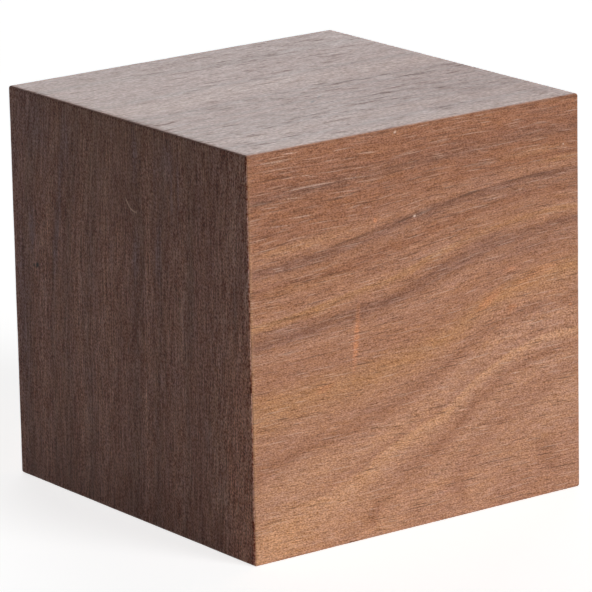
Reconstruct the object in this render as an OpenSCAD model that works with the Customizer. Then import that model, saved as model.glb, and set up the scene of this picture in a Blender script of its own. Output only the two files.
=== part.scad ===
// Solid walnut cube for a desk or shelf. It stands on its base face, with the
// middle of that face at the origin and +Z up. Millimetres.

/* [Block] */
// Length of each side, over the flat faces
side = 70; // [40:1:120]

/* [Edges] */
// Radius that sanding leaves along the twelve edges and on the eight corners
ease_r = 0.5; // [0.2:0.1:3]

/* [Look] */
// Colour of the wood
wood_colour = "sienna"; // [sienna, peru, saddlebrown]

/* [Hidden] */
$fn = 48;

half_side = side / 2;
// Half the width of the flat part of each face, which ends where the easing starts
half_flat = half_side - ease_r;

// Three crossed slabs, each of full size along one axis, whose ends are the six flat faces
module flat_faces() {
    for (full_axis = [0:2])
        cube([for (axis = [0:2]) 2 * (axis == full_axis ? half_side : half_flat)], center = true);
}

// The four rounds that run along Z, one at each upright edge
module upright_rounds() {
    for (x = [-half_flat, half_flat], y = [-half_flat, half_flat])
        translate([x, y, 0])
            cylinder(r = ease_r, h = 2 * half_flat, center = true);
}

// All twelve rounds: the upright four, and the same four turned to run along Y and along X
module edge_rounds() {
    upright_rounds();
    rotate([90, 0, 0]) upright_rounds();
    rotate([0, 90, 0]) upright_rounds();
}

// A ball at each corner, which joins the three rounds that meet there
module corner_rounds() {
    for (x = [-half_flat, half_flat], y = [-half_flat, half_flat], z = [-half_flat, half_flat])
        translate([x, y, z])
            sphere(r = ease_r);
}

// The cube itself, one solid piece of wood
module block() {
    color(wood_colour)
        translate([0, 0, half_side]) {
            flat_faces();
            edge_rounds();
            corner_rounds();
        }
}

block();
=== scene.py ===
"""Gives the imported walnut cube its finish: the eased block, the figure of each face, and a plain studio.

Lengths of pieces are in metres. The grain of each face is drawn in millimetres: along runs with the
fibres, across runs over them, and both start at one corner of the face.
"""

import math
from collections import namedtuple

import bpy
from mathutils import Euler, Matrix, Vector


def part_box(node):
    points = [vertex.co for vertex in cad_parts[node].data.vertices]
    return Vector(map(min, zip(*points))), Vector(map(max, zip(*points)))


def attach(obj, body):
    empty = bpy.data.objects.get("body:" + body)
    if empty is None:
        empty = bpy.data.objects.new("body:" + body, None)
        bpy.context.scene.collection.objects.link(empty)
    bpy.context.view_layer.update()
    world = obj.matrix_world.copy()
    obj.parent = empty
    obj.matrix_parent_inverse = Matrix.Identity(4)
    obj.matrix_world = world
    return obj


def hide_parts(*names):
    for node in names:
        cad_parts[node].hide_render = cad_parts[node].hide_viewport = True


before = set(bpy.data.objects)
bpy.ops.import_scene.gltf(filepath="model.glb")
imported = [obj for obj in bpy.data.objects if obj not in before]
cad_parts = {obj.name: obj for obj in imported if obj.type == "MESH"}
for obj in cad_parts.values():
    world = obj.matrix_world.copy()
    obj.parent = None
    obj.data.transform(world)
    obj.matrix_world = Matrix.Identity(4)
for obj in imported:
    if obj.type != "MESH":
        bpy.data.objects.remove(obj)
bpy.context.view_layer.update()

bl_info = {
    "name": "Walnut Cube",
    "version": (1, 0, 0),
    "blender": (4, 5, 0),
    "location": "View3D > Sidebar > Walnut Cube",
    "description": "A walnut cube with eased edges and a satin finish, and the studio it stands in",
    "category": "Object",
}

NODE = "block"
LOW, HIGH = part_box(NODE)
SIDE = HIGH.z - LOW.z
MM = 1000.0
SIDE_MM = SIDE * MM
BAKE_MAP = "OFBake"


# ---- Settings ----

class BlockSettings(bpy.types.PropertyGroup):
    """The shape of the cube"""

    easing: bpy.props.FloatProperty(
        name="Edge Easing", description="Radius that sanding leaves along the edges",
        default=0.0005, min=0.0001, max=0.003, unit="LENGTH", precision=5)
    easing_spread: bpy.props.FloatProperty(
        name="Easing Spread", description="How unevenly the edges were sanded, as a share of the radius",
        default=0.25, min=0.0, max=0.6, subtype="FACTOR")
    nick_depth: bpy.props.FloatProperty(
        name="Nick Depth", description="Depth of the small dents along the edges",
        default=0.00007, min=0.0, max=0.0003, unit="LENGTH", precision=5)
    cells: bpy.props.IntProperty(
        name="Cells", description="Mesh cells along each side", default=126, min=24, max=128)
    easing_cells: bpy.props.IntProperty(
        name="Easing Cells", description="Mesh cells from a flat face to the middle of an edge",
        default=6, min=2, max=10)
    seed: bpy.props.IntProperty(
        name="Seed", description="Changes where the edges are uneven", default=3, min=0)


def wood_colour(name, description, default):
    """A colour that the panel shows"""
    return bpy.props.FloatVectorProperty(
        name=name, description=description, default=default, subtype="COLOR")


class WoodSettings(bpy.types.PropertyGroup):
    """The colours of the walnut and its finish, some of which paint shade and sheen on it"""

    umber: wood_colour("Umber", "Darkest growth lines", (0.247, 0.113, 0.069))
    dusk: wood_colour("Dusk", "Greyish dark bands", (0.273, 0.130, 0.083))
    russet: wood_colour("Russet", "Reddish heartwood", (0.273, 0.116, 0.065))
    chestnut: wood_colour("Chestnut", "Deep brown heartwood", (0.295, 0.127, 0.069))
    bark: wood_colour("Bark", "Brown between the dark lines", (0.328, 0.152, 0.087))
    brown: wood_colour("Brown", "The middle tone", (0.358, 0.168, 0.097))
    tan: wood_colour("Tan", "Lighter brown", (0.389, 0.191, 0.115))
    ochre: wood_colour("Ochre", "Yellowish brown beside the dark lines", (0.402, 0.194, 0.094))
    amber: wood_colour("Amber", "Light wood", (0.428, 0.218, 0.130))
    honey: wood_colour("Honey", "Lightest wood", (0.492, 0.256, 0.142))
    # Plum, wine, rose and brick are shaded copies of bark, brown, tan and ochre: cooler and pinker, they
    # paint the cool shade on the left face and the top.
    plum: wood_colour("Plum", "Dark lines of the side grain", (0.300, 0.150, 0.111))
    wine: wood_colour("Wine", "Middle tone of the side grain", (0.380, 0.178, 0.130))
    rose: wood_colour("Rose", "Light lines of the side grain", (0.480, 0.245, 0.178))
    brick: wood_colour("Brick", "Warm part of the side grain", (0.560, 0.250, 0.165))
    copper: wood_colour("Copper", "Orange glow of the light wood", (0.500, 0.205, 0.100))
    # Spread thin over the whole top, slate paints the cool tone of its sheen.
    slate: wood_colour("Slate", "Bluish dark parts of the side grain", (0.290, 0.160, 0.150))
    pore: wood_colour("Pore", "Inside of the open pores", (0.078, 0.036, 0.022))
    fleck: wood_colour("Fleck", "Pale glints along the pores", (0.680, 0.500, 0.400))
    soot: wood_colour("Soot", "A black speck", (0.004, 0.003, 0.003))
    # This pale colour is a real thread on the left face, and spread thin over the whole top it paints the
    # pale tone of the sheen.
    lint: wood_colour("Lint", "A pale thread of lint", (0.980, 0.720, 0.560))
    roughness: bpy.props.FloatProperty(
        name="Roughness", description="Roughness of the satin finish",
        default=0.40, min=0.05, max=1.0, subtype="FACTOR")
    specular: bpy.props.FloatProperty(
        name="Specular", description="How strongly the finish shines", default=0.10, min=0.0, max=1.0,
        subtype="FACTOR")


class StudioSettings(bpy.types.PropertyGroup):
    """The floor, the lights and the camera"""

    floor_radius: bpy.props.FloatProperty(
        name="Floor Radius", description="Radius of the pale floor", default=3.0, unit="LENGTH")
    key: bpy.props.FloatProperty(
        name="Key", description="Light that the key lamp gives a surface facing it, where 1 shows a "
        "colour as it is written", default=1.10, min=0.0)
    rear: bpy.props.FloatProperty(
        name="Rear", description="Light that the lamp behind gives a surface facing it",
        default=0.285, min=0.0)
    fill: bpy.props.FloatProperty(
        name="Fill", description="Light from all round", default=0.06, min=0.0)
    azimuth: bpy.props.FloatProperty(
        name="Azimuth", description="Direction of the camera round the cube, from its front",
        default=math.radians(-36.43), subtype="ANGLE")
    elevation: bpy.props.FloatProperty(
        name="Elevation", description="Height of the camera over the horizon",
        default=math.radians(15.1), subtype="ANGLE")
    roll: bpy.props.FloatProperty(
        name="Roll", description="Turn of the camera about its own line of sight",
        default=math.radians(-1.12), subtype="ANGLE")
    distance: bpy.props.FloatProperty(
        name="Distance", description="From the camera to the cube", default=0.8549, unit="LENGTH")
    lens: bpy.props.FloatProperty(
        name="Lens", description="Focal length on a sensor 36 mm wide", default=299.8)
    aim: bpy.props.FloatVectorProperty(
        name="Aim", description="The point that the camera looks at", default=(-0.0001, -0.00047, 0.03337),
        subtype="TRANSLATION", unit="LENGTH")


# ---- Node trees and objects ----

class Tree:
    """Adds nodes to a tree. A socket's value is set on it, and another node's socket is linked to it."""

    def __init__(self, tree):
        self.tree = tree

    def feed(self, socket, value):
        if isinstance(value, bpy.types.NodeSocket):
            self.tree.links.new(value, socket)
        else:
            socket.default_value = value

    def add(self, kind, sockets=None, **settings):
        node = self.tree.nodes.new(kind)
        for name, value in settings.items():
            setattr(node, name, value)
        for name, value in (sockets or {}).items():
            self.feed(node.inputs[name], value)
        return node

    def maths(self, operation, *values):
        return self.add("ShaderNodeMath", dict(enumerate(values)), operation=operation).outputs[0]

    def times(self, first, second):
        return self.maths("MULTIPLY", first, second)

    def vectors(self, operation, *values):
        node = self.add("ShaderNodeVectorMath", operation=operation)
        for number, value in enumerate(values):
            self.feed(node.inputs["Scale" if operation == "SCALE" and number else number], value)
        return node.outputs["Value" if operation in ("LENGTH", "DOT_PRODUCT") else "Vector"]

    def parts(self, vector):
        """The X, Y and Z of a vector"""
        return self.add("ShaderNodeSeparateXYZ", {0: vector}).outputs

    def join(self, x=0.0, y=0.0, z=0.0):
        return self.add("ShaderNodeCombineXYZ", {0: x, 1: y, 2: z}).outputs[0]

    def span(self, value, low, high, to_low=0.0, to_high=1.0, smooth=False):
        """value moved from low..high to to_low..to_high, and held inside it"""
        node = self.add(
            "ShaderNodeMapRange", interpolation_type="SMOOTHSTEP" if smooth else "LINEAR", clamp=True)
        for number, given in enumerate((value, low, high, to_low, to_high)):
            self.feed(node.inputs[number], given)
        return node.outputs[0]

    def noise(self, place, scale=1.0, detail=2.0):
        return self.add(
            "ShaderNodeTexNoise", {"Vector": place, "Scale": scale, "Detail": detail},
            noise_dimensions="3D").outputs["Fac"]

    def mix(self, share, first, second, blend="MIX"):
        """Two colours mixed"""
        node = self.add("ShaderNodeMix", data_type="RGBA", blend_type=blend, clamp_factor=True)
        colours = [socket for socket in node.inputs if socket.type == "RGBA"]
        for socket, value in zip((node.inputs[0], *colours), (share, first, second)):
            self.feed(socket, value)
        return next(socket for socket in node.outputs if socket.type == "RGBA")

    def group(self, tree, **sockets):
        """A group node. A socket's name is given with _ for each space."""
        kind = "GeometryNodeGroup" if self.tree.type == "GEOMETRY" else "ShaderNodeGroup"
        named = {name.replace("_", " "): value for name, value in sockets.items()}
        return self.add(kind, named, node_tree=tree)


SOCKET_KINDS = {float: "Float", int: "Int", tuple: "Vector"}
NOWHERE = (0.0, 0.0, 0.0)


def new_group(name, kind, inputs, **outputs):
    """An empty node group with these sockets, as (tree, its inputs, its output node's inputs)

    inputs are {name: default}, and outputs are name=socket kind.
    """
    tree = bpy.data.node_groups.new(name, kind)
    for label, default in inputs.items():
        socket_type = "NodeSocket" + SOCKET_KINDS[type(default)]
        tree.interface.new_socket(label, in_out="INPUT", socket_type=socket_type).default_value = default
    for label, socket_kind in outputs.items():
        tree.interface.new_socket(label, in_out="OUTPUT", socket_type="NodeSocket" + socket_kind)
    source = tree.nodes.new("NodeGroupInput").outputs
    result = tree.nodes.new("NodeGroupOutput").inputs
    return Tree(tree), source, result


built_groups = {}


def shared_group(make):
    """The node group that make builds, built once"""
    if make not in built_groups:
        built_groups[make] = make()
    return built_groups[make]


def bare_tree(owner):
    """The emptied node tree of a material or a world"""
    owner.use_nodes = True
    owner.node_tree.nodes.clear()
    return Tree(owner.node_tree)


def new_object(name, data):
    """An object at the origin, in the scene"""
    made = bpy.data.objects.new(name, data)
    bpy.context.scene.collection.objects.link(made)
    return made


# ---- The block ----

Face = namedtuple("Face", "facing along across")
FACES = {
    "front": Face((0, -1, 0), (1, 0, 0), (0, 0, 1)),
    "back": Face((0, 1, 0), (1, 0, 0), (0, 0, 1)),
    "left": Face((-1, 0, 0), (0, 0, 1), (0, -1, 0)),
    "right": Face((1, 0, 0), (0, 0, 1), (0, -1, 0)),
    "top": Face((0, 0, 1), (1, 0, 0), (0, 1, 0)),
    "base": Face((0, 0, -1), (1, 0, 0), (0, 1, 0)),
}


def cell_spacing_group():
    """Places a cell line of an evenly cut cube: wide cells on the flat, narrow ones on the easing."""
    tree, given, result = new_group(
        "Cell Spacing", "GeometryNodeTree",
        {"Share": 0.0, "Flat Share": 0.9, "Half Flat": 0.0, "Radius": 0.0}, Place="Float")
    size = tree.maths("ABSOLUTE", given["Share"])
    flat = tree.span(size, 0.0, given["Flat Share"], 0.0, given["Half Flat"])
    turn = tree.span(size, given["Flat Share"], 1.0, 0.0, math.pi / 4)
    eased = tree.times(given["Radius"], tree.maths("TANGENT", turn))
    place = tree.times(tree.maths("SIGN", given["Share"]), tree.maths("ADD", flat, eased))
    tree.feed(result["Place"], place)
    return tree.tree


def uneven_radius(tree, given, place):
    """The easing radius at a point, which changes along the edges"""
    waves_per_metre = 90.0
    seeded = tree.vectors("ADD", place, tree.join(given["Seed"]))
    change = tree.maths("MULTIPLY_ADD", tree.noise(seeded, waves_per_metre), 2.0, -1.0)
    share = tree.maths("MULTIPLY_ADD", change, given["Easing Spread"], 1.0)
    return tree.times(given["Easing Radius"], share)


def nicks(tree, given, place, edge):
    """How deep the small dents are at a point: nothing on the flat, and a few along each edge"""
    nicks_per_metre = 420.0
    shallow, full = 0.62, 0.80
    seeded = tree.vectors("ADD", place, tree.join(0.0, given["Seed"]))
    spots = tree.span(tree.noise(seeded, nicks_per_metre, detail=1.0), shallow, full, smooth=True)
    return tree.times(tree.times(spots, given["Nick Depth"]), edge)


def chart_place(tree, place, facing, half):
    """Where a point lies on the map for bakes: a column for each pair of faces, a row for each of the pair

    The half of the map that a face has across its grain is longer than the third that it has along it,
    because the pores are fine across it.
    """
    margin = 0.012
    columns, rows = 3.0, 2.0
    share = tree.vectors("ADD", tree.vectors("SCALE", place, tree.maths("DIVIDE", 0.5, half)), (0.5,) * 3)
    x, y, z = tree.parts(share)
    size = tree.vectors("ABSOLUTE", facing)
    along = tree.vectors("DOT_PRODUCT", size, tree.join(z, x, x))
    across = tree.vectors("DOT_PRODUCT", size, tree.join(y, z, y))
    column = tree.vectors("DOT_PRODUCT", size, (0.0, 1.0, 2.0))
    row = tree.maths("GREATER_THAN", tree.vectors("DOT_PRODUCT", facing, (1.0, 1.0, 1.0)), 0.0)
    along, across = (tree.span(way, 0.0, 1.0, margin, 1.0 - margin) for way in (along, across))
    return tree.join(
        tree.maths("DIVIDE", tree.maths("ADD", column, along), columns),
        tree.maths("DIVIDE", tree.maths("ADD", row, across), rows))


def eased_block_tree(materials):
    """Geometry Nodes for a cube on the origin, with hand-eased edges and a material on each face"""
    edge_starts, edge_full = 1.05, 1.35
    tree, given, result = new_group(
        "Eased Block", "GeometryNodeTree",
        {"Side": SIDE, "Easing Radius": 0.0005, "Easing Spread": 0.2, "Nick Depth": 0.0, "Cells": 100,
         "Easing Cells": 6, "Seed": 0}, Mesh="Geometry")
    half = tree.maths("DIVIDE", given["Side"], 2.0)
    radius = given["Easing Radius"]
    lines = tree.maths("ADD", given["Cells"], 1.0)
    cube = tree.add("GeometryNodeMeshCube", {
        "Size": (2.0, 2.0, 2.0), "Vertices X": lines, "Vertices Y": lines, "Vertices Z": lines})
    keep = tree.add("GeometryNodeCaptureAttribute", {"Geometry": cube.outputs["Mesh"]}, domain="FACE")
    keep.capture_items.new("VECTOR", "Facing")
    tree.feed(keep.inputs["Facing"], tree.add("GeometryNodeInputNormal").outputs[0])
    facing = keep.outputs["Facing"]

    spacing = cell_spacing_group()
    eased_share = tree.maths("DIVIDE", tree.times(given["Easing Cells"], 2.0), given["Cells"])
    flat_share = tree.maths("SUBTRACT", 1.0, eased_share)
    placed = [
        tree.group(spacing, Share=share, Flat_Share=flat_share,
                   Half_Flat=tree.maths("SUBTRACT", half, radius), Radius=radius).outputs[0]
        for share in tree.parts(tree.add("GeometryNodeInputPosition").outputs[0])
    ]
    place = tree.join(*placed)

    uneven = uneven_radius(tree, given, place)
    reach = tree.maths("SUBTRACT", half, uneven)
    limit = tree.join(reach, reach, reach)
    inner = tree.vectors(
        "MAXIMUM", tree.vectors("MINIMUM", place, limit), tree.vectors("SCALE", limit, -1.0))
    outward = tree.vectors("SUBTRACT", place, inner)
    length = tree.maths("DIVIDE", tree.vectors("LENGTH", outward), uneven)
    edge = tree.span(length, edge_starts, edge_full, smooth=True)
    depth = tree.maths("SUBTRACT", uneven, nicks(tree, given, place, edge))
    eased = tree.vectors("ADD", inner, tree.vectors("SCALE", tree.vectors("NORMALIZE", outward), depth))
    moved = tree.add("GeometryNodeSetPosition", {
        "Geometry": keep.outputs["Geometry"], "Position": tree.vectors("ADD", eased, tree.join(z=half))})

    chart = tree.add("GeometryNodeStoreNamedAttribute", {
        "Geometry": moved.outputs[0], "Name": BAKE_MAP}, data_type="FLOAT2", domain="CORNER")
    value = next(socket for socket in chart.inputs if socket.name == "Value" and socket.enabled)
    tree.feed(value, chart_place(tree, place, facing, half))
    mesh = tree.add("GeometryNodeSetShadeSmooth", {"Geometry": chart.outputs[0]}).outputs[0]
    mesh = tree.add("GeometryNodeRealizeInstances", {"Geometry": mesh}).outputs[0]
    for name, face in FACES.items():
        towards = tree.vectors("DOT_PRODUCT", facing, face.facing)
        mesh = tree.add("GeometryNodeSetMaterial", {
            "Geometry": mesh, "Selection": tree.maths("GREATER_THAN", towards, 0.5),
            "Material": materials[name]}).outputs[0]
    tree.feed(result["Mesh"], mesh)
    return tree.tree


def set_inputs(modifier, values):
    """Sets a Geometry Nodes modifier's inputs by the names that its tree shows."""
    for item in modifier.node_group.interface.items_tree:
        if item.item_type == "SOCKET" and item.in_out == "INPUT" and item.name in values:
            modifier[item.identifier] = values[item.name]


def plain_mesh(built):
    """The evaluated object's mesh as a new object, with no modifier on it"""
    bpy.context.view_layer.update()
    graph = bpy.context.evaluated_depsgraph_get()
    mesh = bpy.data.meshes.new_from_object(built.evaluated_get(graph))
    name = built.name
    bpy.data.objects.remove(built)
    piece = new_object(name, mesh)
    mesh.name = name
    return piece


class CUBE_OT_block(bpy.types.Operator):
    """Make the walnut cube in place of its plain solid"""

    bl_idname = "walnut_cube.block"
    bl_label = "Make the Cube"

    def execute(self, context):
        settings = context.scene.cube_block
        materials = {name: walnut_material(name, context.scene.cube_wood) for name in FACES}
        built = new_object("walnut_cube", bpy.data.meshes.new("walnut_cube"))
        modifier = built.modifiers.new("Eased Block", "NODES")
        modifier.node_group = eased_block_tree(materials)
        set_inputs(modifier, {
            "Side": SIDE, "Easing Radius": settings.easing, "Easing Spread": settings.easing_spread,
            "Nick Depth": settings.nick_depth, "Cells": settings.cells,
            "Easing Cells": settings.easing_cells, "Seed": settings.seed})
        piece = plain_mesh(built)
        if not piece.data.polygons:
            raise RuntimeError("the cube came out with no faces")
        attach(piece, "root")
        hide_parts(NODE)
        return {"FINISHED"}


# ---- The figure of each face ----

# A figure is drawn like contour lines. Each guide is a growth line: its ring number, which is its height
# over the middle of the face, and its height at every STATION along the face. The tones say what colour
# each ring number has. The lean says where the fibres follow the growth lines: it grows between the first
# two heights and fades between the next two, and the last number is how closely they follow.
# A patch is a soft oval: its tone, where its middle is along and across, half its length, half its width,
# its turn in degrees, and its strength. A mark is a stroke: its tone, where it starts and where it ends,
# half its width, and its strength. A speck is a stroke too, but it lies over the grain. A dull spot is a
# soft oval with no tone, and its strength is added to the roughness, so that one below nothing is glossier.
STATION = 10.0
RAMP_STOPS = 32
Figure = namedtuple("Figure", "guides tones lean patches marks specks dull", defaults=((), (), ()))

# How a face is textured. In millimetres: how far its growth lines wander and fray, and how long its fibres
# and speckles are. Then how strong its streaks and fibres are from broad to fine, how strongly they act on
# red, green and blue, where more on green and blue paints the grey flicker of sheen over the fibres, how
# wide they are drawn, how much their hue changes, how much they change the sheen, and how strong its pores
# and glints are.
Texture = namedtuple(
    "Texture", "wander fray fibre dot broad lines middle fine speckle channels width hue sheen pores glints")
FLAT_GRAIN = Texture(
    wander=0.6, fray=0.35, fibre=3.6, dot=0.4, broad=0.0, lines=0.10, middle=0.04, fine=0.46, speckle=1.08,
    channels=(1.0, 1.2, 1.4), width=1.0, hue=0.66, sheen=0.0, pores=0.68, glints=0.50)
# The left face's texture is a shaded copy: its fibres are drawn stronger than the front's and act more on
# green and blue, partly painting the grey flicker of the sheen over that shaded face.
SHADED_SIDE_GRAIN = Texture(
    wander=1.0, fray=0.6, fibre=6.0, dot=0.42, broad=0.0, lines=0.22, middle=0.07, fine=1.25, speckle=2.00,
    channels=(1.0, 1.6, 1.9), width=1.4, hue=0.66, sheen=0.0, pores=0.60, glints=0.30)
TOP_GRAIN = Texture(
    wander=1.2, fray=1.4, fibre=3.4, dot=0.7, broad=0.03, lines=0.15, middle=0.08, fine=0.26, speckle=0.74,
    channels=(1.0, 1.2, 1.3), width=2.0, hue=0.18, sheen=0.22, pores=0.62, glints=0.16)
TEXTURES = dict.fromkeys(FACES, FLAT_GRAIN) | {"left": SHADED_SIDE_GRAIN, "top": TOP_GRAIN}

FRONT = Figure(guides={
    -20: (-50, -42, -34, -27, -14, -2, 7, 12),
    -1: (-25, -18, -11, -5, 3, 13.5, 20, 22),
    13.1: (-8, -3, 2.5, 10, 15.5, 22.5, 26, 26.5),
    17.9: (5, 9, 11.5, 16, 19.8, 25.5, 28.5, 29),
    24.9: (16.5, 18.5, 20.2, 23, 27, 32.3, 34.5, 34.7),
    31.8: (28.5, 29, 30, 31, 33, 37.5, 40.5, 41.3),
    43.4: (38.5, 39.3, 40.6, 42, 44.8, 47, 48.4, 48.8),
    55.1: (50.5, 51.2, 52.3, 54.2, 56, 56.9, 57.6, 57.2),
    63.4: (61.7, 62.2, 62.8, 63.2, 63.6, 64, 64.2, 64.3),
    72: (71, 71.2, 71.4, 71.6, 72, 72.2, 72.4, 72.5),
}, tones={
    -28: "brown", -20: "tan", -12: "amber", -6: "amber", -2: "tan", 2: "tan", 6.5: "amber", 9.5: "tan",
    11.5: "bark", 13: "tan", 15: "amber", 16.6: "honey", 17.4: "honey", 18.2: "tan", 21.5: "amber",
    23: "tan", 24.5: "bark", 26.5: "tan", 30.5: "ochre", 34: "brown", 37.5: "brown", 40: "tan", 41: "bark",
    41.9: "dusk", 42.6: "umber", 43.2: "umber", 43.7: "bark", 44.6: "brown", 46: "ochre", 46.6: "tan",
    47.4: "brown", 48.3: "bark", 49.4: "brown", 50.3: "chestnut", 51.2: "chestnut", 52.2: "bark",
    53.2: "bark", 53.8: "dusk", 54.4: "umber", 54.95: "umber", 55.3: "bark", 56.1: "brown", 56.7: "brown",
    57.3: "bark", 58.2: "chestnut", 62.2: "chestnut", 63.3: "umber", 65.2: "russet", 67: "chestnut",
}, lean=(22, 44, 58, 70, 0.42), patches=(
    ("honey", 5, 4, 14, 8, 30, 0.9), ("honey", 18, 2, 34, 12, 0, 0.4), ("honey", 0, 35, 0.9, 65, 0, 0.55),
    ("amber", 35, 7, 9, 7, 0, 0.5), ("bark", 49, 50, 10, 5, 8, 0.55), ("dusk", 47, 45.6, 10, 2.6, 18, 0.9),
    ("bark", 56, 47.6, 10, 2, 6, 0.2), ("ochre", 11, 53.4, 15, 1.2, 4, 0.5),
    ("ochre", 66, 59.4, 7, 0.7, 0, 0.6), ("bark", 61, 45.5, 12, 2.6, 4, 0.7),
    ("bark", 60, 52, 11, 3, 2, 0.5), ("dusk", 4, 38, 10, 1.6, 6, 0.5),
    ("ochre", 14.5, 41.8, 3.5, 0.9, 12, 0.7), ("ochre", 10, 46.3, 14, 1.4, 3, 0.4),
    ("amber", 10, 12, 10, 3, 20, 0.6), ("bark", 25.3, 4.5, 4.6, 1.9, 75, 0.75),
    ("bark", 43.5, 4.5, 6, 2.2, 105, 0.55), ("bark", 63, 6.5, 7, 3, 125, 0.6),
    ("tan", 34, 5, 7, 3.5, 70, 0.5), ("tan", 53, 5, 7, 3.5, 110, 0.5), ("brown", 56, 12, 9, 2.2, 30, 0.4),
    ("honey", 10, 14.5, 15, 4, 14, 0.45), ("honey", 29, 17.6, 20, 1.7, 21, 0.35),
    ("honey", 37, 6, 8, 2.2, 33, 0.3), ("dusk", 8, 39.9, 12, 1.2, 5, 0.5),
    ("bark", 33, 42.6, 10, 1.2, 10, 0.3), ("dusk", 34, 52.7, 12, 1, 10, 0.35),
    ("chestnut", 35, 57, 12, 1, 8, 0.6), ("brown", 34, 58.9, 12, 0.9, 7, 0.4),
    ("dusk", 60, 45.2, 13, 2.2, 8, 0.55), ("umber", 59, 47.4, 14, 1.4, 5, 0.45),
    ("dusk", 58, 55.2, 15, 1.5, 3, 0.55), ("ochre", 60, 61.6, 11, 1.1, 1, 0.4),
    ("bark", 60, 18, 11, 1.6, 24, 0.45), ("copper", 50, 37, 5, 1.3, 32, 0.55),
    ("copper", 55, 41.4, 2.6, 0.6, 3, 0.7), ("copper", 55, 34.8, 1.7, 0.9, 20, 0.6),
    ("copper", 60, 39.8, 8, 1.6, 16, 0.3), ("copper", 21.7, 35.4, 8, 0.85, 84, 0.85),
    ("copper", 15, 28, 3, 1, 20, 0.4), ("copper", 26, 55, 0.8, 0.6, 120, 0.9),
    ("copper", 68, 33, 0.6, 0.6, 90, 0.8),
), marks=(
    ("pore", 28, 53.5, 41, 55.5, 0.27, 0.58), ("pore", 39, 55.3, 52, 57, 0.32, 0.45),
    ("pore", 43, 56.1, 49, 56.7, 0.26, 0.55), ("pore", 50, 57, 69, 57.5, 0.26, 0.4),
    ("pore", 14, 51.6, 28, 53.6, 0.32, 0.5), ("pore", 34, 53.4, 41.5, 54.6, 0.23, 0.5),
    ("pore", 44, 52.9, 56, 54.6, 0.23, 0.43), ("pore", 28, 47.3, 38, 48.5, 0.22, 0.43),
    ("pore", 31, 50.8, 37, 51.1, 0.23, 0.36), ("pore", 39, 48.5, 45, 50.2, 0.22, 0.36),
    ("pore", 2, 41.2, 14, 41.6, 0.32, 0.5), ("pore", 12, 41.6, 24, 43.4, 0.23, 0.36),
    ("pore", 2, 49.4, 20, 50, 0.23, 0.36), ("pore", 4, 46.9, 22, 47.4, 0.23, 0.29),
    ("pore", 0, 61.5, 6, 61.7, 0.54, 0.43), ("pore", 4, 62.2, 24, 63, 0.27, 0.54),
    ("pore", 15, 65.2, 24, 64.9, 0.28, 0.4), ("pore", 16.5, 60, 20, 60.1, 0.3, 0.5),
    ("pore", 19.5, 60.3, 23.5, 60.6, 0.23, 0.58), ("pore", 7.5, 59.1, 12, 59.3, 0.32, 0.4),
    ("pore", 3.5, 58.4, 6.5, 58.5, 0.27, 0.5), ("pore", 24, 63.2, 38, 64, 0.25, 0.43),
    ("pore", 30, 60.4, 40, 61.2, 0.25, 0.43), ("pore", 44, 61, 55, 61.4, 0.25, 0.36),
    ("pore", 36, 67.2, 47, 67.4, 0.23, 0.36), ("fleck", 0, 68.3, 10, 68, 0.18, 0.37),
    ("fleck", 6.3, 69.3, 11.2, 69, 0.18, 0.37), ("fleck", 7, 63.1, 19, 62.9, 0.16, 0.31),
    ("fleck", 18, 63.2, 25, 62.8, 0.16, 0.31), ("fleck", 9.6, 65.1, 14, 64.8, 0.16, 0.37),
    ("fleck", 6.3, 61.7, 11.7, 61.4, 0.16, 0.37), ("fleck", 7.3, 58.3, 14.5, 58, 0.18, 0.31),
    ("fleck", 3, 57.5, 10, 57, 0.18, 0.31), ("fleck", 48.5, 54.5, 53, 54.9, 0.16, 0.31),
), specks=(
    ("fleck", 33.9, 54.3, 34.7, 54.5, 0.28, 1), ("fleck", 30, 69.2, 30.8, 69.5, 0.28, 0.9),
    ("fleck", 66.3, 61.7, 66.8, 61.7, 0.25, 0.8), ("fleck", 55.4, 23.2, 55.9, 23.2, 0.25, 0.7),
))

# The left face is drawn in the shaded tones, which paint the cool shade that falls on it.
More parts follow.
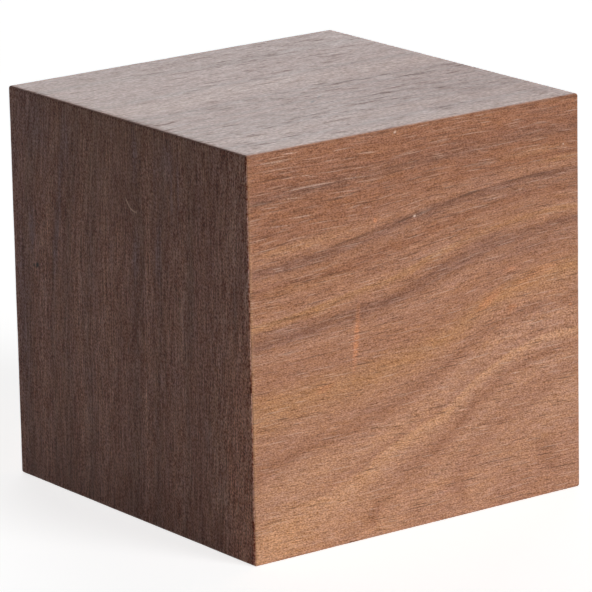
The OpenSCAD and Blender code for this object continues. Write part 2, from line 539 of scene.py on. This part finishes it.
LEFT = Figure(guides={
    -4: (-5, -5, -5, -4, -4, -3, -2, -1),
    4.4: (3.5, 3.8, 4, 4.2, 4.6, 5.5, 7, 9),
    12: (11, 11.5, 12, 11.5, 12.6, 14, 15.8, 17),
    23.2: (22.5, 23, 23, 22.8, 23.5, 24.5, 26, 27.5),
    37: (34.5, 35, 36, 36.5, 37.4, 38.4, 37.2, 38),
    40.5: (38.3, 39, 39.3, 40, 41, 41.8, 42, 41.5),
    52.6: (51, 51.5, 52, 52.3, 53, 53.8, 53.8, 53.5),
    65.5: (59.5, 61, 63.5, 65, 66, 68, 70, 73),
    74: (70, 71, 72, 74, 76, 79, 82, 85),
}, tones={
    -4: "wine", 2: "wine", 3.6: "plum", 4.8: "plum", 6.5: "wine", 9: "rose", 11: "wine", 12: "plum",
    13.4: "wine", 16.4: "plum", 18: "wine", 20: "rose", 23.2: "plum", 25: "wine", 27.5: "rose", 32: "wine",
    34.5: "wine", 37: "plum", 38.3: "plum", 39.8: "wine", 40.8: "rose", 42.3: "wine", 44: "plum",
    46: "wine", 50.5: "rose", 52.5: "plum", 53.6: "wine", 58: "wine", 62: "rose", 63.5: "rose", 65: "wine",
    67: "rose", 74: "brick",
}, lean=(-20, -10, 80, 90, 0.5), patches=(
    ("wine", 35, 35, 400, 400, 0, 0.25), ("rose", 24, 35, 34, 60, 0, 0.2),
    ("dusk", 64, 30, 20, 60, 0, 0.42), ("dusk", 70, 35, 7, 60, 0, 0.45),
    ("brick", 35, 70, 65, 1.3, 0, 0.45), ("lint", 16, 65, 18, 10, 0, 0.13),
    ("brick", 16, 68, 36, 9, 0, 0.85), ("brick", 14, 64, 6, 1.8, -8, 0.6),
    ("brick", 17, 63.2, 13, 0.6, 1, 0.4), ("brick", 42, 55.5, 8, 0.6, 1, 0.2),
    ("lint", 14, 67.5, 15, 4, 0, 0.05), ("slate", 66, 7, 10, 8, 0, 0.5), ("slate", 64, 17.5, 8, 2, 0, 0.6),
    ("slate", 30, 2.5, 34, 2.5, 0, 0.6), ("slate", 46, 6.3, 7, 1.4, 4, 0.7),
    ("slate", 45, 13.4, 10, 1.2, 2, 0.7), ("slate", 47, 37.8, 8, 1.5, 2, 0.7),
    ("slate", 49, 44.6, 9, 1.3, 2, 0.7), ("slate", 64, 37.8, 7, 1.3, 0, 0.6),
    ("slate", 65, 47, 5, 3, 0, 0.5), ("plum", 42, 53.3, 14, 1, 1, 0.7), ("plum", 44, 66, 8, 1, 3, 0.7),
    ("rose", 46, 41, 28, 0.9, 1, 0.8), ("rose", 12, 39.6, 20, 0.8, 2, 0.6),
    ("plum", 44, 53.6, 18, 0.7, 1, 0.8), ("plum", 46, 17.6, 20, 0.8, 0, 0.5),
    ("rose", 16, 39.5, 14, 0.8, 1, 0.6), ("rose", 12, 5, 14, 1, 0, 0.6),
    ("rose", 12, 50.8, 13, 1.2, 1, 0.4), ("rose", 12, 60.5, 12, 1.5, 8, 0.35),
    ("rose", 60, 40.2, 10, 0.8, 1, 0.5), ("slate", 50, 14.2, 24, 1.1, 8, 0.6),
    ("slate", 60, 43.4, 10, 0.9, 0, 0.5), ("slate", 60, 48.2, 12, 0.8, 0, 0.6),
    ("slate", 60, 50.2, 10, 0.7, 0, 0.5), ("slate", 60, 1, 12, 3, 0, 0.4),
), specks=(
    ("soot", 39.1, 6, 39.3, 6.8, 0.42, 1), ("soot", 39.2, 6.8, 39.6, 8.1, 0.65, 1),
    ("soot", 39.2, 6.9, 39.6, 8, 0.6, 1), ("lint", 57, 34.7, 55.2, 36, 0.24, 0.9),
    ("lint", 56.2, 35.2, 54.8, 36.5, 0.24, 0.9), ("lint", 55.4, 35.8, 54.5, 37.2, 0.24, 0.9),
    ("lint", 54.9, 36.4, 54.5, 37.9, 0.22, 0.8), ("lint", 54.6, 37.1, 54.6, 38.6, 0.2, 0.7),
))

# The top is drawn in the shaded tones too, which paint the shade on it.
TOP = Figure(guides={
    -3: (-3, -3, -3, -3, -3, -3, -3, -3),
    6.4: (6.2, 6, 6, 6.2, 6.6, 7, 7.2, 7),
    17: (16.5, 16.6, 16.8, 17.2, 17.2, 17, 16.6, 16.4),
    26: (25.2, 25.4, 25.6, 26, 26, 25.8, 25.6, 25.2),
    33.6: (33, 32.8, 33.2, 33.9, 33.6, 33.4, 33.4, 33.4),
    45: (44.5, 44.6, 44.8, 45, 45, 44.6, 44, 43.6),
    59.5: (61, 61.4, 60.6, 59.8, 59.6, 60, 60.2, 60.4),
    73: (73, 73, 73, 73, 73, 73, 73, 73),
}, tones={
    -3: "rose", 3: "rose", 5.2: "wine", 6.4: "plum", 7.6: "wine", 11: "rose", 13.5: "wine", 15: "plum",
    15.9: "wine", 17: "plum", 18: "wine", 19.2: "plum", 20.5: "wine", 22: "plum", 23.2: "wine", 25: "wine",
    26: "plum", 27.2: "wine", 29.6: "wine", 31: "plum", 32.2: "wine", 33.6: "plum", 35: "wine", 38: "rose",
    41.5: "rose", 44: "wine", 45.2: "plum", 47: "wine", 54: "wine", 57: "wine", 59.4: "plum", 61.4: "wine",
    66: "wine", 73: "wine",
}, lean=(-20, -10, 80, 90, 0.5), patches=(
    ("rose", 8, 41, 5, 1.5, 0, 0.6), ("rose", 5, 45.5, 4, 1.2, 0, 0.5), ("rose", 5, 3, 5, 2, 0, 0.5),
    # The two patches that cover the whole top, slate and the pale thread colour, paint the cool pale tone of
    # its sheen.
    ("plum", 40, 66, 60, 14, 0, 0.5), ("slate", 35, 35, 400, 400, 0, 0.2),
    ("lint", 35, 35, 400, 400, 0, 0.022), ("copper", 35, 0, 65, 1.8, 0, 0.7),
), marks=(
    ("pore", 30.8, 24, 33.4, 25.8, 0.55, 0.9), ("pore", 33.8, 26.2, 36.6, 28.2, 0.45, 0.8),
), dull=(
    (66, 22, 44, 36, 0, 0.045), (42, 68, 50, 14, 0, 0.018), (0, 35, 1.8, 65, 0, 0.1),
    (9, 6, 14, 10, 0, -0.022), (23, 29, 14, 16, 0, 0.015), (35, 0, 65, 1.8, 0, 0.035),
    (52, 52, 34, 16, 0, 0.014),
))


def far_side(figure, rise, tilt, patches):
    """A figure for the other side of the block: the same growth lines, higher and turned a little

    The far side, which stands in the light, takes plain tones in place of the shaded ones that paint the
    cool shade on the near side.
    """
    # Each shaded tone of the near side, and the plain tone that the far side takes instead
    unshaded_tones = {"plum": "bark", "wine": "brown", "rose": "tan", "brick": "ochre"}
    tones = {ring: unshaded_tones.get(tone, tone) for ring, tone in figure.tones.items()}
    guides = {}
    for ring, heights in figure.guides.items():
        last = len(heights) - 1
        guides[ring] = tuple(
            height + rise + tilt * (2.0 * number / last - 1.0) for number, height in enumerate(heights))
    return figure._replace(guides=guides, tones=tones, patches=patches, marks=(), specks=(), dull=())


FIGURES = {
    "front": FRONT,
    "back": far_side(
        FRONT, -5.0, 4.0, (("honey", 60, 8, 12, 5, 20, 0.5), ("dusk", 30, 40, 10, 2, 6, 0.5))),
    "left": LEFT,
    "right": far_side(
        LEFT, 3.0, -2.0, (("amber", 40, 20, 30, 8, 0, 0.4), ("dusk", 20, 50, 20, 3, 0, 0.4))),
    "top": TOP,
    "base": far_side(TOP, 4.0, 2.0, (("amber", 20, 20, 14, 3, 0, 0.5),)),
}


# ---- The wood ----

# A kind of streak: how long it is along the fibres, how wide it is across them, and how much detail it has
Streak = namedtuple("Streak", "length width detail")
WANDER = Streak(18.0, 9.0, 1.0)
FRAY = Streak(8.0, 0.45, 2.0)
BROAD = Streak(24.0, 2.6, 1.0)
LINES = Streak(26.0, 0.5, 2.0)
MIDDLE = Streak(8.0, 0.8, 1.0)
HUE_BANDS = Streak(11.0, 1.6, 2.0)
HUE_SPOTS = Streak(0.9, 0.42, 1.0)
FIBRE_BEND = Streak(16.0, 8.0, 1.0)
PORE_ROWS = Streak(22.0, 2.4, 1.0)
PORE_WEAR = Streak(0.9, 0.2, 1.0)
STROKE_FRAY = Streak(4.0, 0.6, 1.0)
FIBRE_WIDTH, SPECKLE_WIDTH, FINE_DETAIL = 0.25, 0.21, 2.0

# The length and width of the cells that hold one pore or glint each
SHORT_PORES, LONG_PORES, GLINTS = (5.5, 0.36), (15.0, 0.45), (12.0, 0.28)

# How deep the bumps of the grain are in metres and how strongly they show, how pores and fibres share in
# them, what an open pore adds to the roughness, and how much fine lines change in pale and in dark wood
GRAIN_DEPTH, GRAIN_STRENGTH = 0.00003, 0.5
PORE_HEIGHT, FIBRE_HEIGHT = -1.0, 0.3
PORE_ROUGHNESS = 0.45
LINES_IN_PALE, LINES_IN_DARK = 0.5, 1.6

# From one face's seed to the next, and what each kind of streak adds to its face's seed
FACE_SEEDS = 10.0
LONG_PORE_DRAW, GLINT_DRAW, ROW_DRAW, BEND_DRAW, HUE_DRAW, STROKE_DRAW = 1.0, 2.0, 3.0, 5.0, 7.0, 9.0

# What red, green and blue add to a colour's brightness, how bright pale wood and dark lines are, and the two
# ends of the change of hue
BRIGHTNESS = (0.3, 0.6, 0.1)
PALE_WOOD, DARK_LINES = 0.30, 0.15
COOL_TINT, WARM_TINT = (0.96, 1.01, 1.17, 1.0), (1.05, 1.01, 0.87, 1.0)


def shade(wood, tone):
    """A tone of the wood as a node takes it"""
    return (*getattr(wood, tone), 1.0)


def grain_place(tree, face):
    """The place on a face in grain millimetres: X along the grain, Y across it, Z near nothing"""
    facing, along, across = (Vector(way) for way in face)
    middle, half = (LOW + HIGH) / 2, (HIGH - LOW) / 2
    corner = Vector(m + h * way for m, h, way in zip(middle, half, facing - along - across))
    turn = Matrix((along, across, along.cross(across)))
    mapping = tree.add("ShaderNodeMapping", {
        "Vector": tree.add("ShaderNodeTexCoord").outputs["Object"],
        "Location": -(turn @ corner) * MM, "Rotation": turn.to_euler(), "Scale": (MM, MM, MM)})
    return mapping.outputs[0]


def stretched(tree, place, length, width, seed):
    """A place in units of length along the grain and width across it, on a level of its own for each seed"""
    along, across, _ = tree.parts(place)
    return tree.join(tree.maths("DIVIDE", along, length), tree.maths("DIVIDE", across, width), seed)


def fibre_noise(tree, place, streak, seed):
    """Noise from about -1 to 1, drawn out along the grain

    The plane is cut aslant through the noise, so that its cells don't line up in columns and rows.
    """
    aslant = (0.55, 0.45, 1.0)
    level = stretched(tree, place, streak.length, streak.width, seed)
    slant = tree.vectors("DOT_PRODUCT", level, aslant)
    cut = tree.vectors("MULTIPLY_ADD", slant, (0.0, 0.0, 1.0), level)
    return tree.maths("MULTIPLY_ADD", tree.noise(cut, detail=streak.detail), 2.0, -1.0)


def weighted(tree, start, *pairs):
    """start with each value added by its weight"""
    for value, weight in pairs:
        start = tree.maths("MULTIPLY_ADD", value, weight, start)
    return start


def grain_drift_group():
    """Moves a place over the grain, so that growth lines wander and their edges fray along the fibres."""
    tree, given, result = new_group(
        "Grain Drift", "ShaderNodeTree", {"Place": NOWHERE, "Wander": 1.2, "Fray": 1.0, "Seed": 0.0},
        Place="Vector")
    place, seed = given["Place"], given["Seed"]
    shift = weighted(
        tree, 0.0,
        (fibre_noise(tree, place, WANDER, seed), given["Wander"]),
        (fibre_noise(tree, place, FRAY, seed), given["Fray"]))
    tree.feed(result["Place"], tree.vectors("ADD", place, tree.join(y=shift)))
    return tree.tree


def fibres_group():
    """Light and dark streaks of the fibres, from broad ones to single fibres, and their change of hue

    Broad streaks and lines follow the growth lines, and the rest follow the fibres.
    """
    lift, darkest = 0.03, (0.1, 0.08, 0.06)
    hue_bands, hue_spots = 0.7, 0.9
    fine_height, speckle_height = 0.6, 0.4
    tree, given, result = new_group(
        "Fibres", "ShaderNodeTree",
        {"Place": NOWHERE, "Growth": NOWHERE, "Fibre Length": 3.4, "Speckle Length": 0.7, "Broad": 0.1,
         "Lines": 0.1, "Middle": 0.1, "Fine": 0.1, "Speckle": 0.1, "Channels": (1.0, 1.0, 1.0),
         "Hue": 1.0, "Seed": 0.0}, Light="Vector", Warmth="Float", Height="Float")
    place, growth, seed = given["Place"], given["Growth"], given["Seed"]
    broad = fibre_noise(tree, growth, BROAD, seed)
    lines = fibre_noise(tree, growth, LINES, seed)
    middle = fibre_noise(tree, place, MIDDLE, seed)
    fine = fibre_noise(tree, place, Streak(given["Fibre Length"], FIBRE_WIDTH, FINE_DETAIL), seed)
    speckle = fibre_noise(tree, place, Streak(given["Speckle Length"], SPECKLE_WIDTH, FINE_DETAIL), seed)
    change = weighted(
        tree, lift, (broad, given["Broad"]), (lines, given["Lines"]), (middle, given["Middle"]),
        (fine, given["Fine"]), (speckle, given["Speckle"]))
    # Channels above one on green and blue paint the grey flicker of sheen over the fibres.
    light = tree.vectors("MULTIPLY_ADD", change, given["Channels"], (1.0, 1.0, 1.0))
    other = tree.maths("ADD", seed, HUE_DRAW)
    hue = weighted(
        tree, 0.0, (fibre_noise(tree, place, HUE_BANDS, other), hue_bands),
        (fibre_noise(tree, place, HUE_SPOTS, other), hue_spots))
    tree.feed(result["Light"], tree.vectors("MAXIMUM", light, darkest))
    tree.feed(result["Warmth"], tree.span(weighted(tree, 0.5, (hue, given["Hue"])), 0.0, 1.0))
    tree.feed(result["Height"], weighted(tree, 0.0, (fine, fine_height), (speckle, speckle_height)))
    return tree.tree


def dashes_group():
    """Dashes along the grain, as open pores make. Each cell has one or none, of its own length and tilt."""
    least_squeeze, most_squeeze, most_tilt = 0.7, 2.6, 0.4
    rim, core, wear = 0.34, 0.05, 0.10
    faintest, fading = 0.2, 1.6
    tree, given, result = new_group(
        "Dashes", "ShaderNodeTree",
        {"Place": NOWHERE, "Length": 5.0, "Width": 0.5, "Share": 0.5, "Seed": 0.0}, Mask="Float")
    place, seed = given["Place"], given["Seed"]
    scaled = stretched(tree, place, given["Length"], given["Width"], 0.0)
    moved = tree.vectors("ADD", scaled, tree.join(seed, seed))
    cells = tree.add("ShaderNodeTexVoronoi", {"Vector": moved, "Scale": 1.0}, voronoi_dimensions="2D")
    middle = cells.outputs["Position"]
    cell = tree.vectors("ADD", tree.vectors("FLOOR", middle), tree.join(z=seed))
    drawn = tree.add("ShaderNodeTexWhiteNoise", {"Vector": cell}, noise_dimensions="3D").outputs["Color"]
    chance, strength, shape = tree.parts(drawn)
    along, across, _ = tree.parts(tree.vectors("SUBTRACT", moved, middle))
    along = tree.times(along, tree.span(shape, 0.0, 1.0, least_squeeze, most_squeeze))
    tilt = tree.span(strength, 0.0, 1.0, -most_tilt, most_tilt)
    across = tree.maths("MULTIPLY_ADD", along, tilt, across)
    worn = fibre_noise(tree, place, PORE_WEAR, seed)
    distance = weighted(tree, tree.vectors("LENGTH", tree.join(along, across)), (worn, wear))
    shown = tree.span(tree.maths("POWER", strength, fading), 0.0, 1.0, faintest, 1.0)
    mask = tree.times(tree.span(distance, rim, core, smooth=True), shown)
    tree.feed(result["Mask"], tree.times(mask, tree.maths("LESS_THAN", chance, given["Share"])))
    return tree.tree


def ring_number(tree, place, figure):
    """The ring number at a place, worked out between the guides on either side of it"""
    along, across, _ = tree.parts(place)
    share = tree.maths("DIVIDE", along, SIDE_MM)
    heights = []
    for stations in figure.guides.values():
        curve = tree.add("ShaderNodeFloatCurve", {"Value": share})
        curve.mapping.use_clip = False
        points = curve.mapping.curves[0].points
        while len(points) < len(stations):
            points.new(0.5, 0.5)
        for number, height in enumerate(stations):
            points[number].location = (number * STATION / SIDE_MM, height / SIDE_MM)
        curve.mapping.update()
        heights.append(tree.times(curve.outputs[0], SIDE_MM))
    rings = list(figure.guides)
    total = rings[0]
    for number, (low, high) in enumerate(zip(heights, heights[1:])):
        step = tree.span(across, low, high, 0.0, rings[number + 1] - rings[number])
        total = tree.maths("ADD", total, step)
    return total


def ring_colour(tree, ring, tones, wood):
    """The tone of a ring number, blended between the tones on either side of it"""
    if len(tones) > RAMP_STOPS:
        middle = len(tones) // 2
        below = ring_colour(tree, ring, tones[:middle + 1], wood)
        above = ring_colour(tree, ring, tones[middle:], wood)
        return tree.mix(tree.maths("GREATER_THAN", ring, tones[middle][0]), below, above)
    low, high = tones[0][0], tones[-1][0]
    ramp = tree.add("ShaderNodeValToRGB", {0: tree.span(ring, low, high)})
    stops = ramp.color_ramp.elements
    for number, (height, tone) in enumerate(tones):
        share = (height - low) / (high - low)
        stop = stops[number] if number < 2 else stops.new(share)
        stop.position = share
        stop.color = shade(wood, tone)
    return ramp.outputs[0]


def patch_group():
    """How much of a soft oval lies at a place"""
    rim, core = 1.0, 0.15
    tree, given, result = new_group(
        "Patch", "ShaderNodeTree",
        {"Place": NOWHERE, "Middle": NOWHERE, "Half Size": NOWHERE, "Turn": 0.0, "Strength": 1.0},
        Mask="Float")
    turn = tree.maths("RADIANS", given["Turn"])
    local = tree.add("ShaderNodeMapping", {
        "Vector": given["Place"], "Location": given["Middle"], "Rotation": tree.join(z=turn),
        "Scale": given["Half Size"]}, vector_type="TEXTURE").outputs[0]
    x, y, _ = tree.parts(local)
    oval = tree.span(tree.vectors("LENGTH", tree.join(x, y)), rim, core, smooth=True)
    tree.feed(result["Mask"], tree.times(oval, given["Strength"]))
    return tree.tree


def patch_mask(tree, place, along, across, half_length, half_width, turn, strength):
    """How much of one soft oval lies at a place"""
    return tree.group(
        shared_group(patch_group), Place=place, Middle=(along, across, 0.0),
        Half_Size=(half_length, half_width, 1.0), Turn=turn, Strength=strength).outputs[0]


def patched(tree, colour, place, patches, wood):
    """The colour with each patch laid over it

    The last mask rides on the unused Z of the next one's place. So the masks are worked out one after
    another, and the renderer never has to hold them all at once.
    """
    x, y, last = tree.parts(place)
    for tone, *oval in patches:
        last = patch_mask(tree, tree.join(x, y, last), *oval)
        colour = tree.mix(last, colour, shade(wood, tone))
    return colour


def stroke_patches(strokes):
    """The patches that reach from one end of each stroke to the other"""
    patches = []
    for tone, along, across, end_along, end_across, half_width, strength in strokes:
        start, end = Vector((along, across)), Vector((end_along, end_across))
        way, middle = end - start, (start + end) / 2
        turn = math.degrees(math.atan2(way.y, way.x))
        patches.append((tone, *middle, way.length / 2, half_width, turn, strength))
    return patches


def frayed(tree, place, seed):
    """The place moved across the grain a little, so that a stroke isn't ruled"""
    reach = 0.12
    shift = fibre_noise(tree, place, STROKE_FRAY, seed + STROKE_DRAW)
    return tree.vectors("ADD", place, tree.join(y=tree.times(shift, reach)))


def leaned(tree, place, ring, figure):
    """The place with its height moved, so that the fibres follow the growth lines by the figure's lean"""
    along, across, _ = tree.parts(place)
    low, full, end, high, share = figure.lean
    rising = tree.span(across, low, full, 0.0, share, smooth=True)
    falling = tree.span(across, end, high, 1.0, 0.0, smooth=True)
    follow = tree.times(rising, falling)
    shift = tree.times(tree.maths("SUBTRACT", ring, across), follow)
    return tree.join(along, tree.maths("ADD", across, shift))


def drawn_figure(tree, place, figure, texture, seed, wood):
    """The colour of a face before its fibres, and how dark its growth lines are from 0 to 1"""
    drifted = tree.group(
        shared_group(grain_drift_group), Place=place, Wander=texture.wander, Fray=texture.fray,
        Seed=seed).outputs[0]
    rings = ring_colour(tree, ring_number(tree, drifted, figure), list(figure.tones.items()), wood)
    darkness = tree.span(tree.vectors("DOT_PRODUCT", rings, BRIGHTNESS), PALE_WOOD, DARK_LINES)
    colour = patched(tree, rings, drifted, figure.patches, wood)
    return patched(tree, colour, frayed(tree, place, seed), stroke_patches(figure.marks), wood), darkness


def streak_places(tree, place, figure, texture, seed):
    """The place along the fibres and the place along the growth lines, squeezed so that streaks widen"""
    bend_reach = 0.6
    ring = ring_number(tree, place, figure)
    bend = tree.times(fibre_noise(tree, place, FIBRE_BEND, seed + BEND_DRAW), bend_reach)
    fibres = tree.vectors("ADD", leaned(tree, place, ring, figure), tree.join(y=bend))
    growth = tree.join(tree.parts(place)[0], ring)
    return [tree.vectors("MULTIPLY", way, (1.0, 1.0 / texture.width, 1.0)) for way in (fibres, growth)]


def open_pores(tree, along_fibres, darkness, seed):
    """How much of an open pore is at a place, and how much of a pale glint. Dark lines have more of both."""
    gap, row, in_gaps, in_rows = -0.4, 0.5, 0.3, 0.8
    pores_in_pale, pores_in_dark = 0.45, 1.25
    glints_in_pale, glints_in_dark = 0.2, 0.9
    rows = fibre_noise(tree, along_fibres, PORE_ROWS, seed + ROW_DRAW)
    crowding = tree.times(
        tree.span(rows, gap, row, in_gaps, in_rows),
        tree.span(darkness, 0.0, 1.0, pores_in_pale, pores_in_dark))
    glinting = tree.span(darkness, 0.0, 1.0, glints_in_pale, glints_in_dark)
    short, long, glints = (
        tree.group(
            shared_group(dashes_group), Place=along_fibres, Length=length, Width=width, Share=share,
            Seed=seed + draw).outputs[0]
        for (length, width), share, draw in (
            (SHORT_PORES, crowding, 0.0), (LONG_PORES, crowding, LONG_PORE_DRAW),
            (GLINTS, glinting, GLINT_DRAW)))
    return tree.maths("MAXIMUM", short, long), glints


def walnut_material(name, wood):
    """The finish of one face"""
    figure, texture = FIGURES[name], TEXTURES[name]
    seed = FACE_SEEDS * list(FIGURES).index(name)
    material = bpy.data.materials.new("walnut_" + name)
    tree = bare_tree(material)
    place = grain_place(tree, FACES[name])
    colour, darkness = drawn_figure(tree, place, figure, texture, seed, wood)
    along_fibres, growth = streak_places(tree, place, figure, texture, seed)
    fibres = tree.group(
        shared_group(fibres_group), Place=along_fibres, Growth=growth, Fibre_Length=texture.fibre,
        Speckle_Length=texture.dot, Broad=texture.broad,
        Lines=tree.span(darkness, 0.0, 1.0, LINES_IN_PALE * texture.lines, LINES_IN_DARK * texture.lines),
        Middle=texture.middle, Fine=texture.fine, Speckle=texture.speckle,
        Channels=texture.channels, Hue=texture.hue, Seed=seed).outputs
    colour = tree.vectors("MULTIPLY", colour, fibres["Light"])
    colour = tree.mix(1.0, colour, tree.mix(fibres["Warmth"], COOL_TINT, WARM_TINT), blend="MULTIPLY")

    pores, glints = open_pores(tree, along_fibres, darkness, seed)
    colour = tree.mix(tree.times(pores, texture.pores), colour, shade(wood, "pore"))
    colour = tree.mix(tree.times(glints, texture.glints), colour, shade(wood, "fleck"))
    colour = patched(tree, colour, place, stroke_patches(figure.specks), wood)
    roughness = weighted(
        tree, wood.roughness, (pores, PORE_ROUGHNESS * texture.pores), (fibres["Height"], -texture.sheen))
    for spot in figure.dull:
        roughness = tree.maths("ADD", roughness, patch_mask(tree, place, *spot))
    height = weighted(tree, 0.0, (pores, PORE_HEIGHT), (fibres["Height"], FIBRE_HEIGHT))
    bump = tree.add("ShaderNodeBump", {
        "Height": height, "Strength": GRAIN_STRENGTH, "Distance": GRAIN_DEPTH})
    surface = tree.add("ShaderNodeBsdfPrincipled", {
        "Base Color": colour, "Roughness": roughness, "Specular IOR Level": wood.specular,
        "Normal": bump.outputs[0]})
    tree.add("ShaderNodeOutputMaterial", {"Surface": surface.outputs[0]})
    return material


# ---- The studio ----

WHITE, PAPER = (1.0, 1.0, 1.0, 1.0), (0.80, 0.80, 0.80, 1.0)
FLOOR_LIFT = 0.78
FLOOR_CORNERS = 128
SENSOR_WIDTH = 36.0
NEAREST_SEEN, FURTHEST_SEEN = 0.05, 20.0

# Each lamp's azimuth from the cube's front, its elevation, and how wide it looks, in degrees
KEY_LAMP = (20.0, 7.0, 30.0)
REAR_LAMP = (143.6, 16.0, 40.0)


def seen_directly(tree):
    """1 for the camera and for what a shiny or clear surface shows, 0 for light that lands on the object"""
    path = tree.add("ShaderNodeLightPath").outputs
    shiny = tree.maths("MAXIMUM", path["Is Glossy Ray"], path["Is Transmission Ray"])
    return tree.maths("MAXIMUM", path["Is Camera Ray"], shiny)


def floor_material():
    """Pale paper. Seen directly it is lifted to white, and keeps the shadow that falls on it."""
    material = bpy.data.materials.new("pale_floor")
    tree = bare_tree(material)
    paper = tree.add("ShaderNodeBsdfDiffuse", {"Color": PAPER})
    glow = tree.add("ShaderNodeEmission", {
        "Color": WHITE, "Strength": tree.times(seen_directly(tree), FLOOR_LIFT)})
    both = tree.add("ShaderNodeAddShader", {0: paper.outputs[0], 1: glow.outputs[0]})
    tree.add("ShaderNodeOutputMaterial", {"Surface": both.outputs[0]})
    return material


def make_floor(radius):
    """A round pale floor under the cube"""
    turns = [2 * math.pi * corner / FLOOR_CORNERS for corner in range(FLOOR_CORNERS)]
    corners = [(radius * math.cos(turn), radius * math.sin(turn), 0.0) for turn in turns]
    mesh = bpy.data.meshes.new("floor")
    mesh.from_pydata(corners, [], [range(FLOOR_CORNERS)])
    mesh.materials.append(floor_material())
    floor = new_object("floor", mesh)


def make_world(fill):
    """White where it is seen, and a soft even fill where it lights the object"""
    world = bpy.data.worlds.new("studio")
    tree = bare_tree(world)
    strength = tree.span(seen_directly(tree), 0.0, 1.0, fill, 1.0)
    sky = tree.add("ShaderNodeBackground", {"Color": WHITE, "Strength": strength})
    tree.add("ShaderNodeOutputWorld", {"Surface": sky.outputs[0]})
    bpy.context.scene.world = world


def direction(azimuth, elevation):
    """The way from the cube towards an azimuth from its front and an elevation over the horizon"""
    return Vector((
        math.sin(azimuth) * math.cos(elevation),
        -math.cos(azimuth) * math.cos(elevation),
        math.sin(elevation)))


def make_lamp(name, level, azimuth, elevation, spread):
    """A far soft lamp. level is the light that it gives a surface facing it."""
    lamp = bpy.data.lights.new(name, "SUN")
    lamp.energy = level * math.pi
    lamp.angle = math.radians(spread)
    towards = direction(math.radians(azimuth), math.radians(elevation))
    holder = new_object(name, lamp)
    holder.rotation_mode = "QUATERNION"
    holder.rotation_quaternion = towards.to_track_quat("Z", "Y")


def make_camera(studio):
    """The camera, placed and turned as the settings say"""
    camera = new_object("camera", bpy.data.cameras.new("camera"))
    camera.data.lens = studio.lens
    camera.data.sensor_width = SENSOR_WIDTH
    camera.data.clip_start = NEAREST_SEEN
    camera.data.clip_end = FURTHEST_SEEN
    back = direction(studio.azimuth, studio.elevation)
    level = back.to_track_quat("Z", "Y").to_matrix()
    rolled = level @ Euler((0.0, 0.0, studio.roll)).to_matrix()
    camera.matrix_world = Matrix.Translation(Vector(studio.aim) + back * studio.distance) @ rolled.to_4x4()
    bpy.context.scene.camera = camera


class CUBE_OT_studio(bpy.types.Operator):
    """Make the pale floor, the lamps and the camera"""

    bl_idname = "walnut_cube.studio"
    bl_label = "Make the Studio"

    def execute(self, context):
        studio = context.scene.cube_studio
        make_floor(studio.floor_radius)
        make_world(studio.fill)
        make_lamp("key", studio.key, *KEY_LAMP)
        make_lamp("rear", studio.rear, *REAR_LAMP)
        make_camera(studio)
        context.scene.view_settings.view_transform = "Standard"
        return {"FINISHED"}


class CUBE_PT_panel(bpy.types.Panel):
    """Settings and buttons for the walnut cube"""

    bl_label = "Walnut Cube"
    bl_idname = "CUBE_PT_panel"
    bl_space_type = "VIEW_3D"
    bl_region_type = "UI"
    bl_category = "Walnut Cube"

    def draw(self, context):
        for label, settings, operator in (
                ("Block", context.scene.cube_block, CUBE_OT_block),
                ("Wood", context.scene.cube_wood, None),
                ("Studio", context.scene.cube_studio, CUBE_OT_studio)):
            box = self.layout.box()
            box.label(text=label)
            for name in settings.__annotations__:
                box.prop(settings, name)
            if operator:
                box.operator(operator.bl_idname)


CLASSES = (BlockSettings, WoodSettings, StudioSettings, CUBE_OT_block, CUBE_OT_studio, CUBE_PT_panel)


def register():
    for each in CLASSES:
        bpy.utils.register_class(each)
    bpy.types.Scene.cube_block = bpy.props.PointerProperty(type=BlockSettings)
    bpy.types.Scene.cube_wood = bpy.props.PointerProperty(type=WoodSettings)
    bpy.types.Scene.cube_studio = bpy.props.PointerProperty(type=StudioSettings)


def unregister():
    del bpy.types.Scene.cube_studio
    del bpy.types.Scene.cube_wood
    del bpy.types.Scene.cube_block
    for each in reversed(CLASSES):
        bpy.utils.unregister_class(each)


def main():
    register()
    bpy.ops.walnut_cube.studio()
    bpy.ops.walnut_cube.block()


if __name__ == "__main__":
    main()
